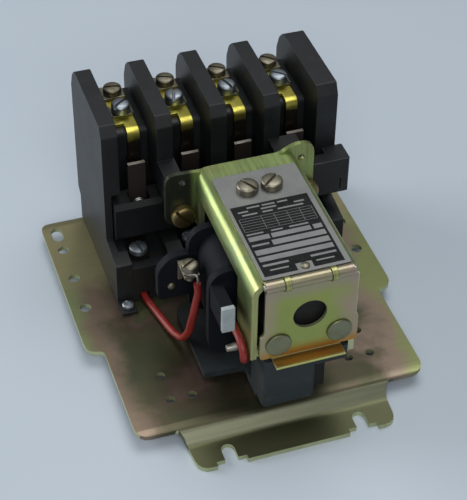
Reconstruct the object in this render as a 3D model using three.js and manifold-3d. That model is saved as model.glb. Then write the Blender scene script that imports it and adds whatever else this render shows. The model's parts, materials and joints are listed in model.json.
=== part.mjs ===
// Open magnetic contactor for a control panel: four poles in a moulded block, a sliding
// armature magnet in a folded steel frame, all on a plated steel mounting plate.
// Millimetres. X runs across the poles, +Y from the gate to the line terminals, +Z up.
import * as THREE from "three";
import { mergeVertices } from "three/addons/utils/BufferGeometryUtils.js";
import Module from "manifold-3d";

const wasm = await Module();
wasm.setup();

// ---- Driving dimensions ----
const GAP = 0.3; // clearance kept round a piece that sits in another
const TOUCH = 0.1; // clearance between flat faces that lie on each other
const PLATE = {
  top: 7.5,
  sheet: 2,
  half: 65.3,
  rear: 65.1,
  notch: -17,
  narrowHalf: 58.6,
  front: -65.1,
  footHalf: 39.6,
  footEnd: 82.7,
  bend: 65.4,
  bendRun: 4.2,
};
const POLES = { count: 4, centre: 1.3, pitch: 22.2, barrier: 6.6 };
const BLOCK = {
  base: 7.8,
  top: 86.7,
  front: 20.7,
  stepFront: 6.2,
  stepTop: 28.6,
  floor: 25.2,
  outerRight: 2.2,
  wall: 34.6,
  wallTop: 72.7,
  rear: 68.5,
};
const STRIP = 1.5; // thickness of the terminal strips
const SCREW = { head: 3.75, height: 3.9, shank: 1.7, slot: 1.1 };
const CONTACT = {
  barFront: 23,
  bar: 1.6,
  barWidth: 7.3,
  barLow: 33.4,
  barHigh: 65.1,
  button: 1.4,
  buttonRadius: 2.9,
  gap: 5,
};
const TRAVEL = 6.4; // stroke of the magnet and the contact carrier
const FRAME = { left: -15.4, right: 25.5, top: 74.8, sheet: 2.3, front: -67.8, rear: 1.8 };
const MAGNET = { centre: 5, half: 10, back: 7, rear: -1, poleFace: -36, low: 14.6, high: 72.2 };
const COIL = { left: -21.5, right: 22.6, low: 23, high: 63, front: -46, rear: -17.5 };
const HINGE = { y: -69, z: 74.4, roll: 2.3, knuckle: 2.8, pin: 1.1, left: -11, right: 22.4 };
const GATE = { left: -11, right: 24.4, bottom: 39, front: -69.6, sheet: 1.3, hole: 6.5 };
const WIRE = 1.5; // radius of the insulated wires

// Derived places
const barrierX = (i) => POLES.centre + (i - POLES.count / 2) * POLES.pitch;
const poleX = (i) => POLES.centre + (i - (POLES.count - 1) / 2) * POLES.pitch;
const BUTTON_REAR = CONTACT.barFront + CONTACT.bar + CONTACT.button;
const FIXED_FRONT = BUTTON_REAR + CONTACT.gap;
const TONGUE_FRONT = FIXED_FRONT + CONTACT.button;

const contactor = new THREE.Group();

// ---- Solids and outlines ----
function solid(geometry) {
  geometry.deleteAttribute("normal");
  geometry.deleteAttribute("uv");
  const merged = mergeVertices(geometry);
  const mesh = new wasm.Mesh({
    numProp: 3,
    vertProperties: merged.attributes.position.array,
    triVerts: Uint32Array.from(merged.index.array),
  });
  return new wasm.Manifold(mesh);
}

function addNode(name, body, material) {
  const mesh = body.getMesh();
  const geometry = new THREE.BufferGeometry();
  geometry.setAttribute("position", new THREE.BufferAttribute(mesh.vertProperties, mesh.numProp));
  geometry.setIndex(new THREE.BufferAttribute(mesh.triVerts, 1));
  const node = new THREE.Mesh(geometry, material);
  node.name = name;
  contactor.add(node);
  return node;
}

function box(x, y, z) {
  const geometry = new THREE.BoxGeometry(x[1] - x[0], y[1] - y[0], z[1] - z[0]);
  geometry.translate((x[0] + x[1]) / 2, (y[0] + y[1]) / 2, (z[0] + z[1]) / 2);
  return solid(geometry);
}

// A cylinder along one axis; at gives its other two coordinates in X, Y, Z order.
function cylinder(axis, at, span, radius, sides = 20) {
  const length = span[1] - span[0];
  const middle = (span[0] + span[1]) / 2;
  const geometry = new THREE.CylinderGeometry(radius, radius, length, sides);
  if (axis === "x") {
    geometry.rotateZ(Math.PI / 2);
    geometry.translate(middle, at[0], at[1]);
  } else if (axis === "y") {
    geometry.translate(at[0], middle, at[1]);
  } else {
    geometry.rotateX(Math.PI / 2);
    geometry.translate(at[0], at[1], middle);
  }
  return solid(geometry);
}

// A closed outline through corners [a, b, rounding].
function outline(corners) {
  const shape = new THREE.Shape();
  corners.forEach(([a, b, rounding = 0], i) => {
    const corner = new THREE.Vector2(a, b);
    const [pa, pb] = corners.at(i - 1);
    const [na, nb] = corners[(i + 1) % corners.length];
    const into = new THREE.Vector2(pa - a, pb - b).setLength(rounding).add(corner);
    const out = new THREE.Vector2(na - a, nb - b).setLength(rounding).add(corner);
    if (i === 0) {
      shape.moveTo(into.x, into.y);
    } else {
      shape.lineTo(into.x, into.y);
    }
    if (rounding > 0) {
      shape.quadraticCurveTo(a, b, out.x, out.y);
    }
  });
  return shape;
}

// The outline of sheet metal of one thickness bent along a centre line of [a, b, rounding].
function bentSheet(line, thickness) {
  const half = thickness / 2;
  const sides = [1, -1].map((side) =>
    line.map(([a, b, rounding = 0], i) => {
      const before = line[Math.max(i - 1, 0)];
      const after = line[Math.min(i + 1, line.length - 1)];
      const way = new THREE.Vector2(a - before[0], b - before[1]).normalize();
      const on = new THREE.Vector2(after[0] - a, after[1] - b).normalize();
      const along = way.clone().add(on).normalize();
      const straight = i === 0 || i === line.length - 1 ? 1 : along.dot(way);
      const shift = (side * half) / straight;
      const turn = way.cross(on) * side;
      const radius = rounding > 0 ? Math.max(rounding - Math.sign(turn) * half, 0.2) : 0;
      return [a - along.y * shift, b + along.x * shift, radius];
    }),
  );
  return outline([...sides[1], ...sides[0].reverse()]);
}

// Extrudes an outline along an axis: outlines along x are in (y, z), along y in (x, z),
// along z in (x, y).
function slab(axis, shape, span, curveSegments = 5) {
  const depth = span[1] - span[0];
  const geometry = new THREE.ExtrudeGeometry(shape, { depth, bevelEnabled: false, curveSegments });
  const turn = new THREE.Matrix4();
  const [x, y, z] = [
    new THREE.Vector3(1, 0, 0),
    new THREE.Vector3(0, 1, 0),
    new THREE.Vector3(0, 0, 1),
  ];
  if (axis === "x") {
    turn.makeBasis(y, z, x).setPosition(span[0], 0, 0);
  } else if (axis === "y") {
    turn.makeBasis(x, z, y.negate()).setPosition(0, span[1], 0);
  } else {
    turn.setPosition(0, 0, span[0]);
  }
  geometry.applyMatrix4(turn);
  return solid(geometry);
}

function joined(bodies) {
  return bodies.reduce((sum, body) => sum.add(body));
}

function tube(points, radius, sides, steps) {
  const section = new THREE.Shape();
  for (let i = 0; i < sides; i += 1) {
    const angle = (i / sides) * 2 * Math.PI;
    const corner = [radius * Math.cos(angle), radius * Math.sin(angle)];
    if (i === 0) {
      section.moveTo(...corner);
    } else {
      section.lineTo(...corner);
    }
  }
  const extrudePath = new THREE.CatmullRomCurve3(points.map((p) => new THREE.Vector3(...p)));
  return solid(new THREE.ExtrudeGeometry(section, { steps, extrudePath, bevelEnabled: false }));
}

// ---- Finishes ----
function finish(color, roughness, metalness) {
  return new THREE.MeshStandardMaterial({ color, roughness, metalness });
}

const chromate = finish(0xa9a86a, 0.35, 0.85);
const phenolic = finish(0x1b1d20, 0.55, 0);
const slate = finish(0x2c3439, 0.5, 0);
const brass = finish(0xb9a23c, 0.32, 0.9);
const steel = finish(0x9fa3a2, 0.35, 0.9);
const nickel = finish(0xa49b86, 0.35, 0.9);
const copper = finish(0x8a5a41, 0.45, 0.9);
const laminate = finish(0x54504a, 0.55, 0.7);
const aluminium = finish(0xb4b6b4, 0.45, 0.8);
const insulation = finish(0x8e2a20, 0.5, 0);
const nylon = finish(0xd2d6d8, 0.5, 0);
const winding = finish(0x1a1f26, 0.5, 0);

// ---- Screws: origin under the head, head towards +Z ----
function slottedScrew({ head, height, shank, length, slot, sides = 14 }) {
  const domed = height * 0.82;
  const profile = [
    [0, -length],
    [shank, -length],
    [shank, 0],
    [head, 0],
    [head, domed],
    [head * 0.72, height],
    [0, height],
  ];
  const turned = new THREE.LatheGeometry(profile.map(([r, z]) => new THREE.Vector2(r, z)), sides);
  turned.rotateX(Math.PI / 2);
  const cut = box([-slot / 2, slot / 2], [-head - 1, head + 1], [height * 0.62, height + 1]);
  return solid(turned).subtract(cut);
}

function addScrew(name, sizes, material, position, turnDegrees, facingFront = false) {
  const node = addNode(name, slottedScrew(sizes), material);
  node.position.set(...position);
  node.rotation.order = "XZY";
  if (facingFront) {
    node.rotation.x = Math.PI / 2;
  }
  node.rotation.z = THREE.MathUtils.degToRad(turnDegrees);
}

// ---- Mounting plate: one blanked sheet, joggled down into a front and a rear foot ----
function mountingPlate() {
  const low = PLATE.sheet / 2;
  const high = PLATE.top - low;
  const end = PLATE.footEnd;
  const { bend, bendRun } = PLATE;
  const side = bentSheet(
    [
      [-end, low],
      [-bend - bendRun, low, 3],
      [-bend, high, 3],
      [bend, high, 3],
      [bend + bendRun, low, 3],
      [end, low],
    ],
    PLATE.sheet,
  );
  const rearHalf = 22;
  const rightSide = [
    [PLATE.footHalf, -end, 5],
    [PLATE.footHalf + 1, PLATE.front - 4, 2],
    [42.4, PLATE.front, 1.5],
    [PLATE.narrowHalf, PLATE.front, 5.5],
    [PLATE.narrowHalf, PLATE.notch, 2],
    [PLATE.half, PLATE.notch, 6],
    [PLATE.half, PLATE.rear, 5.3],
    [rearHalf + 1.5, PLATE.rear, 1.5],
    [rearHalf, PLATE.rear + 4, 1.5],
    [rearHalf, end, 5],
  ];
  const leftSide = rightSide.map(([x, y, r]) => [-x, y, r]).reverse();
  const plan = slab("z", outline([...rightSide, ...leftSide]), [-1, 10], 4);
  const across = [-PLATE.half - 1, PLATE.half + 1];
  let plate = slab("x", side, across, 3).intersect(plan);

  const through = [-1, 10];
  const holes = [
    [59.4, 46, 2.3],
    [59.4, 27.6, 2.3],
    [59.4, 9, 2.3],
    [41.2, -36.8, 1.75],
    [41.2, -50.1, 1.75],
    [32.3, -50.1, 1.75],
    [31, -12.8, 1.75],
  ];
  for (const [x, y, radius] of holes) {
    for (const sign of [-1, 1]) {
      plate = plate.subtract(cylinder("z", [sign * x, y], through, radius, 12));
    }
  }
  const slotRadius = 2.6;
  for (const sign of [-1, 1]) {
    const x = sign * 26.5;
    const mouth = box([x - 6, x + 6], [-end - 1, -80.7], through);
    const slot = box([x - slotRadius, x + slotRadius], [-end - 1, -76], through);
    const end1 = cylinder("z", [x, -76], through, slotRadius, 16);
    const long = box([sign * 59.6 - 2.3, sign * 59.6 + 2.3], [54.2, 58.4], through);
    const ends = [54.2, 58.4].map((y) => cylinder("z", [sign * 59.6, y], through, 2.3, 12));
    plate = plate.subtract(joined([mouth, slot, end1, long, ...ends]));
  }
  const keyhole = [
    cylinder("z", [0, 74.2], through, 5, 20),
    box([-slotRadius, slotRadius], [74.2, 79], through),
    cylinder("z", [0, 79], through, slotRadius, 12),
  ];
  plate = plate.subtract(joined(keyhole));
  for (const x of BLOCK_SCREWS.x) {
    plate = plate.subtract(cylinder("z", [x, BLOCK_SCREWS.y], through, 1.7, 12));
  }
  addNode("mounting_plate", plate, chromate);
}

// ---- Contact block: five barriers, the terminal floors between them, and two frame posts ----
const BLOCK_SCREWS = { x: [-43, 45.8], y: 2.9, seat: 8.9, head: 2.4, height: 1.9 };
const EAR_SCREWS = { x: [-20.4, 30.5], z: 55.2 };
const AUX = { left: 35, right: 54, front: 10.6, rear: 20.4, low: 40, high: 57 };
const WIRE_ENTRY = { x: -35, z: 9.6 };

function barrierProfile() {
  return outline([
    [BLOCK.stepFront, BLOCK.base],
    [BLOCK.stepFront, BLOCK.stepTop, 1],
    [BLOCK.front, 31],
    [BLOCK.front, BLOCK.top - 4.8, 0.5],
    [BLOCK.front + 2.4, BLOCK.top, 0.5],
    [61.4, BLOCK.top, 1.5],
    [65.8, BLOCK.top - 4.4, 1.5],
    [BLOCK.rear, BLOCK.top - 11],
    [BLOCK.rear, 22],
    [65, 20],
    [65, BLOCK.base],
  ]);
}

function coreProfile() {
  return outline([
    [BLOCK.stepFront + 0.4, BLOCK.base],
    [BLOCK.stepFront + 0.4, BLOCK.floor],
    [BLOCK.wall, BLOCK.floor],
    [BLOCK.wall, BLOCK.wallTop, 2.4],
    [63.4, BLOCK.wallTop],
    [63.4, 60],
    [61.4, 58],
    [61.4, BLOCK.base],
  ]);
}

function contactBlock() {
  const half = POLES.barrier / 2;
  const left = barrierX(0) - half;
  const right = barrierX(POLES.count) + half;
  const walls = [];
  for (let i = 0; i <= POLES.count; i += 1) {
    const extra = i === POLES.count ? BLOCK.outerRight : 0;
    const span = [barrierX(i) - half, barrierX(i) + half + extra];
    walls.push(slab("x", barrierProfile(), span, 3));
  }
  const core = slab("x", coreProfile(), [left + 1, right - 1], 4);
  let block = joined([...walls, core]);

  // The carrier's crossbar runs through the three inner barriers and into the outer walls.
  const outerSkin = 3;
  const window = slab(
    "x",
    outline([
      [13.5, 28.8],
      [13.5, 53.2],
      [BLOCK.wall, 53.2, 2],
      [BLOCK.wall, 28.8],
    ]),
    [left + outerSkin, CROSSBAR.right + 2],
    3,
  );
  const posts = [
    box([-24.4, -17.2], [FRAME.rear + GAP, BLOCK.front + 1], [53.2, 66]),
    box([22, 34], [FRAME.rear + GAP, BLOCK.front + 1], [53.2, 66]),
  ];
  posts.forEach((post) => {
    block = block.add(post);
  });
  block = block.subtract(window);

  // The carrier's neck slides in a channel through the centre barrier's step.
  const neck = box([-4.6, 7.2], [0, 13.6], [BLOCK.base - 1, 34]);
  block = block.subtract(neck);

  for (const x of EAR_SCREWS.x) {
    block = block.subtract(cylinder("y", [x, EAR_SCREWS.z], [0, 12], 1.9, 12));
  }
  for (const x of BLOCK_SCREWS.x) {
    const { y, head, height } = BLOCK_SCREWS;
    const lug = box([x - 3.2, x + 3.2], [-0.6, BLOCK.stepFront + 1], [BLOCK.base, BLOCK_SCREWS.seat]);
    block = block.add(lug).subtract(cylinder("z", [x, y], [0, 20], 1.9, 12));
    const seat = cylinder("z", [x, y], [BLOCK_SCREWS.seat, BLOCK_SCREWS.seat + height + 4], head + 0.7, 16);
    block = block.subtract(seat);
  }
  for (let i = 0; i < POLES.count; i += 1) {
    const x = poleX(i);
    const holes = [LINE.frontScrew, LINE.rearScrew].map((y) =>
      cylinder("z", [x, y], [60, 74], SCREW.shank + GAP, 12),
    );
    holes.push(cylinder("z", [x + LOAD.offset, LOAD.screw], [16, 27], SCREW.shank + GAP, 12));
    block = block.subtract(joined(holes));
  }
  const entry = box([WIRE_ENTRY.x - 2, WIRE_ENTRY.x + 2], [0, 13], [BLOCK.base - 1, WIRE_ENTRY.z + 2]);
  addNode("contact_block", block.subtract(entry), phenolic);

  for (const [i, side] of ["left", "right"].entries()) {
    const sizes = {
      head: BLOCK_SCREWS.head,
      height: BLOCK_SCREWS.height,
      shank: 1.4,
      length: 4.6,
      slot: 0.8,
      sides: 14,
    };
    const place = [BLOCK_SCREWS.x[i], BLOCK_SCREWS.y, BLOCK_SCREWS.seat + TOUCH];
    addScrew(`block_screw_${side}`, sizes, steel, place, 25);
  }
}

// ---- Line and load terminals of each pole ----
const LINE = { frontScrew: 45, rearScrew: 57.8, stripFront: 38.3, stripRear: 62.6, width: 8.4 };
const LOAD = { screw: 14.6, offset: -2.8, stripFront: 11.2, left: -5.6, right: 2.4, slim: 0.9 };

function lineContact(x) {
  const seat = BLOCK.wallTop + TOUCH;
  const middle = seat + STRIP / 2;
  const down = TONGUE_FRONT + STRIP / 2;
  const side = bentSheet(
    [
      [LINE.stripRear, middle],
      [down, middle, 2.4],
      [down, 57.6],
    ],
    STRIP,
  );
  const half = LINE.width / 2;
  const strip = slab("x", side, [x - half, x + half], 4);
  const slim = box([x - half - 1, x - 0.8], [20, LINE.stripFront], [50, 80]);
  const tip = cylinder("y", [x + 1.2, 61], [FIXED_FRONT, TONGUE_FRONT + 0.2], CONTACT.buttonRadius, 12);
  const holes = [LINE.frontScrew, LINE.rearScrew].map((y) =>
    cylinder("z", [x, y], [60, 80], SCREW.shank + GAP, 12),
  );
  return strip.subtract(slim).subtract(joined(holes)).add(tip);
}

function loadContact(x) {
  const middle = BLOCK.floor + TOUCH + STRIP / 2;
  const up = TONGUE_FRONT + STRIP / 2;
  const side = bentSheet(
    [
      [LOAD.stripFront, middle],
      [up, middle, 2],
      [up, 40.4],
    ],
    STRIP,
  );
  const strip = slab("x", side, [x + LOAD.left, x + LOAD.right], 4);
  const slim = box([x + LOAD.slim, x + LOAD.right + 1], [0, 22], [20, 30]);
  const tip = cylinder("y", [x, 36.8], [FIXED_FRONT, TONGUE_FRONT + 0.2], CONTACT.buttonRadius, 12);
  const hole = cylinder("z", [x + LOAD.offset, LOAD.screw], [20, 30], SCREW.shank + GAP, 12);
  return strip.subtract(slim).subtract(hole).add(tip);
}

function clampPlate(x) {
  const top = BLOCK.wallTop + TOUCH + STRIP;
  const depth = [LINE.rearScrew - 3.8, LINE.rearScrew + 4.6];
  const plate = box([x - 4.5, x + 4.5], depth, [top + TOUCH, top + 1.4]);
  return plate.subtract(cylinder("z", [x, LINE.rearScrew], [60, 90], SCREW.shank + GAP, 12));
}

function terminals() {
  const lineTop = BLOCK.wallTop + TOUCH + STRIP;
  const screw = { ...SCREW, length: 9 };
  for (let i = 0; i < POLES.count; i += 1) {
    const x = poleX(i);
    const n = i + 1;
    addNode(`line_contact_${n}`, lineContact(x), brass);
    addNode(`load_contact_${n}`, loadContact(x), brass);
    addNode(`line_clamp_plate_${n}`, clampPlate(x), nickel);
    const front = [x, LINE.frontScrew, lineTop + TOUCH + 1.2];
    addScrew(`line_screw_${n}`, { ...screw, height: 4.2 }, steel, front, -55 + 37 * i);
    const rear = [x, LINE.rearScrew, lineTop + 1.4 + TOUCH];
    addScrew(`line_clamp_screw_${n}`, { ...screw, height: 3 }, nickel, rear, 78 - 9 * i);
    const load = [x + LOAD.offset, LOAD.screw, BLOCK.floor + TOUCH + STRIP + TOUCH + 0.4];
    addScrew(`load_screw_${n}`, { ...screw, height: 3 }, steel, load, 12 + 50 * i);
  }
}

// ---- Contact carrier: one moulding from the front block, under the coil, to the crossbar ----
const CROSSBAR = { left: -43, right: 44.2, front: 16.7, rear: 27.2, low: 40.6, high: 50.2 };
const SPRING_POCKET = { front: 18.6, rear: CONTACT.barFront + CONTACT.bar + GAP, half: 4.1 };
const CARRIER = { low: 9.3, plate: 12.3, neckHalf: 4.4, neckX: 1.3 };

function contactCarrier() {
  const crossbar = slab(
    "x",
    outline([
      [CROSSBAR.rear, CROSSBAR.high, 0.8],
      [CROSSBAR.front + 1.6, CROSSBAR.high],
      [CROSSBAR.front, CROSSBAR.high - 2.2],
      [CROSSBAR.front + 1, 33],
      [CROSSBAR.front + 2.4, 31],
      [21.4, 31.8],
      [22.4, CROSSBAR.low],
      [CROSSBAR.rear, CROSSBAR.low],
    ]),
    [CROSSBAR.left, CROSSBAR.right],
    2,
  );
  const neck = [CARRIER.neckX - CARRIER.neckHalf, CARRIER.neckX + CARRIER.neckHalf];
  const beam = box(neck, [-0.4, CROSSBAR.front + 2], [39, 49]);
  const web = box(neck, [-0.4, 3.6], [CARRIER.low, 49]);
  const underPlan = outline([
    [-10, -60],
    [11, -60],
    [11, -46, 2],
    [27, -45, 1],
    [27, -6.4, 4],
    [11, -0.8, 3],
    [6.2, -0.8],
    [6.2, 3.6],
    [-3.6, 3.6],
    [-3.6, -0.8],
    [-8.4, -0.8, 3],
    [-26, -6.4, 4],
    [-26, -45, 1],
    [-10, -46, 2],
  ]);
  const under = slab("z", underPlan, [CARRIER.low, CARRIER.plate], 4);
  const front = slab(
    "z",
    outline([
      [-10, -68.2, 2],
      [11, -68.2, 2],
      [11, -54],
      [-10, -54],
    ]),
    [CARRIER.low + 2, 35.4],
    3,
  );
  const heel = box([-10, 11], [-60, -54], [CARRIER.low, CARRIER.plate]);
  const arm = box([10, 22.8], [-68.2, -60.5], [28.4, 35.4]);
  let carrier = joined([crossbar, beam, web, under, front, heel, arm]);
  for (let i = 0; i < POLES.count; i += 1) {
    const x = poleX(i);
    const span = [x - SPRING_POCKET.half, x + SPRING_POCKET.half];
    carrier = carrier.subtract(box(span, [SPRING_POCKET.front, SPRING_POCKET.rear], [41.4, 60]));
    const slot = [CONTACT.barFront - 2.2, SPRING_POCKET.rear];
    carrier = carrier.subtract(box(span, slot, [25, 60]));
    const relief = box(span, [CONTACT.barFront - 2.2, 40], [25, CROSSBAR.low + 0.8]);
    carrier = carrier.subtract(relief);
  }
  const seat = armatureBody(GAP);
  const pin = box([-20, 40], [-70, -59.2], [35.2, 80]);
  carrier = carrier.subtract(seat).subtract(pin);
  addNode("contact_carrier", carrier, slate);
}

function movableContacts() {
  const { barFront, bar, barWidth, barLow, barHigh, button, buttonRadius } = CONTACT;
  for (let i = 0; i < POLES.count; i += 1) {
    const x = poleX(i);
    const strip = slab(
      "y",
      outline([
        [x - barWidth / 2, barLow, 1],
        [x + barWidth / 2, barLow, 1],
        [x + barWidth / 2, barHigh, 1],
        [x - barWidth / 2, barHigh, 1],
      ]),
      [barFront, barFront + bar],
      2,
    );
    const rear = [barFront + bar - 0.2, barFront + bar + button];
    const upper = cylinder("y", [x + 0.3, 61], rear, buttonRadius, 12);
    const lower = cylinder("y", [x, 36.8], rear, buttonRadius, 12);
    addNode(`movable_contact_${i + 1}`, joined([strip, upper, lower]), copper);
    const spring = helix([x, SPRING_POCKET.front + 0.7, 46.2], 3.1, 2.5, 0.4, 3);
    addNode(`contact_spring_${i + 1}`, spring, steel);
  }
}

// A compression spring of round wire along +Y from its first end.
function helix([x, y, z], length, radius, wire, turns) {
  const points = [];
  const stepsPerTurn = 8;
  for (let i = 0; i <= turns * stepsPerTurn; i += 1) {
    const angle = (i / stepsPerTurn) * 2 * Math.PI;
    const along = (i / (turns * stepsPerTurn)) * length;
    points.push([x + radius * Math.cos(angle), y + along, z + radius * Math.sin(angle)]);
  }
  return tube(points, wire, 5, turns * stepsPerTurn);
}

// ---- Magnet: fixed and moving E-shaped lamination stacks, shading rings and coil ----
function eCore(y, sign, face, clearance) {
  const { low, high, back } = MAGNET;
  const leg = 7;
  const middle = (low + high) / 2;
  const c = clearance;
  const root = y + sign * back;
  const legs = [
    [low - c, low + leg + c],
    [middle - leg - c, middle + leg + c],
    [high - leg - c, high + c],
  ];
  const across = [MAGNET.centre - MAGNET.half - c, MAGNET.centre + MAGNET.half + c];
  const span = (a, b) => [Math.min(a, b) - c, Math.max(a, b) + c];
  const backBar = box(across, span(y, root), [low - c, high + c]);
  return joined([backBar, ...legs.map((z) => box(across, span(root, face), z))]);
}

function armatureBody(clearance) {
  return eCore(-66.4, 1, MAGNET.poleFace - TRAVEL - TOUCH, clearance);
}

function magnet() {
  const { centre, half, poleFace, low, high, rear } = MAGNET;
  let yoke = eCore(rear, -1, poleFace, 0);
  const legs = { top: [high - 5.6, high - 1.4], bottom: [low + 1.4, low + 5.6] };
  for (const [side, [z0, z1]] of Object.entries(legs)) {
    const ringX = [centre - half + 1.5, centre + half - 1.5];
    const outer = box(ringX, [poleFace + 0.6, poleFace + 2.2], [z0, z1]);
    const inner = box([ringX[0] + 1.1, ringX[1] - 1.1], [poleFace - 1, poleFace + 4], [
      z0 + 1.1,
      z1 - 1.1,
    ]);
    const groove = box(
      [ringX[0] - GAP, ringX[1] + GAP],
      [poleFace - 1, poleFace + 2.2 + GAP],
      [z0 - GAP, z1 + GAP],
    );
    const land = box(
      [ringX[0] + 1.1 + GAP, ringX[1] - 1.1 - GAP],
      [poleFace - 2, poleFace + 4],
      [z0 + 1.1 + GAP, z1 - 1.1 - GAP],
    );
    yoke = yoke.subtract(groove.subtract(land));
    addNode(`shading_ring_${side}`, outer.subtract(inner), copper);
  }
  for (const x of NAMEPLATE.screws) {
    yoke = yoke.subtract(cylinder("z", [x, NAMEPLATE.screwY], [high - 9, high + 2], 1.9, 12));
  }
  addNode("magnet_yoke", yoke, laminate);
  addNode("armature", armatureBody(0), laminate);
}

function coilBody() {
  const { left, right, low, high, front, rear } = COIL;
  const ring = (grow, round) =>
    outline([
      [left - 2.5 * grow, low - grow, round],
      [right, low - grow, round],
      [right, high + grow, round],
      [left - 2.5 * grow, high + grow, round],
    ]);
  const body = slab("y", ring(0, 13), [front + 1, rear - 1], 6);
  const frontFlange = slab("y", ring(1.2, 9), [front, front + 3.2], 5);
  const rearFlange = slab("y", ring(1.2, 9), [rear - 3.2, rear], 5);
  const boss = slab(
    "y",
    outline([
      [-19, 32.5],
      [-19, 53.2],
      [-31.4, 53.2, 3],
      [-36.8, 47.4, 3],
      [-36.8, 32.5, 2],
    ]),
    [BOSS_FRONT, rear],
    4,
  );
  const arm = box([-24, -19.2], [GUIDE.rear, front + 3], [48.6, 59]);
  const window = box([-6, 16], [-80, 10], [34.6, 52.2]);
  addNode("coil", joined([body, frontFlange, rearFlange, boss, arm]).subtract(window), winding);

  const terminalTop = 51.4;
  const legSpan = [BOSS_FRONT - 1.5, BOSS_FRONT - GAP];
  const foot = box([-29.2, -23.2], [-31.4, legSpan[1]], [50.1, terminalTop]);
  const leg = box([-29.2, -27.4], legSpan, [42.5, 50.6]);
  const hole = cylinder("z", [COIL_SCREW.x, COIL_SCREW.y], [40, 60], 1.9, 12);
  addNode("coil_terminal", foot.add(leg).subtract(hole), steel);
  const sizes = { head: 3.3, height: 3.4, shank: 1.6, length: 5, slot: 1, sides: 16 };
  const place = [COIL_SCREW.x, COIL_SCREW.y, terminalTop + 1];
  addScrew("coil_terminal_screw", sizes, nickel, place, -62);

  const guide = box([-24, -19], [GUIDE.front, GUIDE.rear - GAP], [48, 59.6]);
  addNode("coil_guide", guide, nylon);
}

const COIL_SCREW = { x: -26.2, y: -28.4 };
const BOSS_FRONT = -21;
const GUIDE = { front: -60.6, rear: -58.3 };

// ---- Wires: the coil lead runs down and back into the block, a second one loops at the gate ----
function wires() {
  const lead = [
    [-24.3, -31.4, 47],
    [-24, -31.5, 42.6],
    [-24.6, -31.3, 38.2],
    [-25.2, -30.9, 33.9],
    [-25.8, -30.5, 29.6],
    [-26.4, -29.7, 25.3],
    [-26.8, -28.8, 21],
    [-27.5, -27.2, 16.9],
    [-28.5, -24.9, 13.3],
    [-29.6, -21.1, 11.4],
    [-30.5, -17, 10.4],
    [-31.4, -12.7, 10],
    [-32.2, -8.3, 9.8],
    [-33.1, -4, 9.6],
    [-34, 0.3, 9.6],
    [-34.8, 4.6, 9.6],
    [-35, 9, 9.6],
  ];
  addNode("coil_wire", tube(lead, WIRE, 8, 18), insulation);
  const loop = [
    [-17.2, COIL.front - GAP - 0.2, 43.4],
    [-17.2, -49.4, 43.4],
    [-17.2, -52.3, 43.4],
    [-17.2, -55.2, 43.4],
    [-17.2, -58.2, 43.4],
    [-17.2, -61.1, 43.1],
    [-17.2, -63.6, 41.7],
    [-17.1, -64.9, 39.1],
    [-16.8, -64.4, 36.2],
    [-15.6, -62.6, 34],
    [-14.1, -60.1, 33],
    [-12.9, -57.2, 32.8],
    [-12.4, -54.4, 33.3],
    [-12.3, -51.6, 34.1],
    [-12.3, -49, 34.8],
    [-12.3, COIL.front - GAP - 0.2, 35.2],
  ];
  addNode("gate_wire", tube(loop, WIRE, 8, 14), insulation);
}

// ---- Magnet frame: folded sheet with two ears, plus the nameplate on top ----
const NAMEPLATE = {
  left: -10.8,
  right: 22.7,
  front: -66.2,
  rear: -7,
  sheet: 0.6,
  screws: [0, 9.7],
  screwY: -17.4,
};
const KNUCKLES = [-3, 14.7];
const KNUCKLE_HALF = 1;

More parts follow.
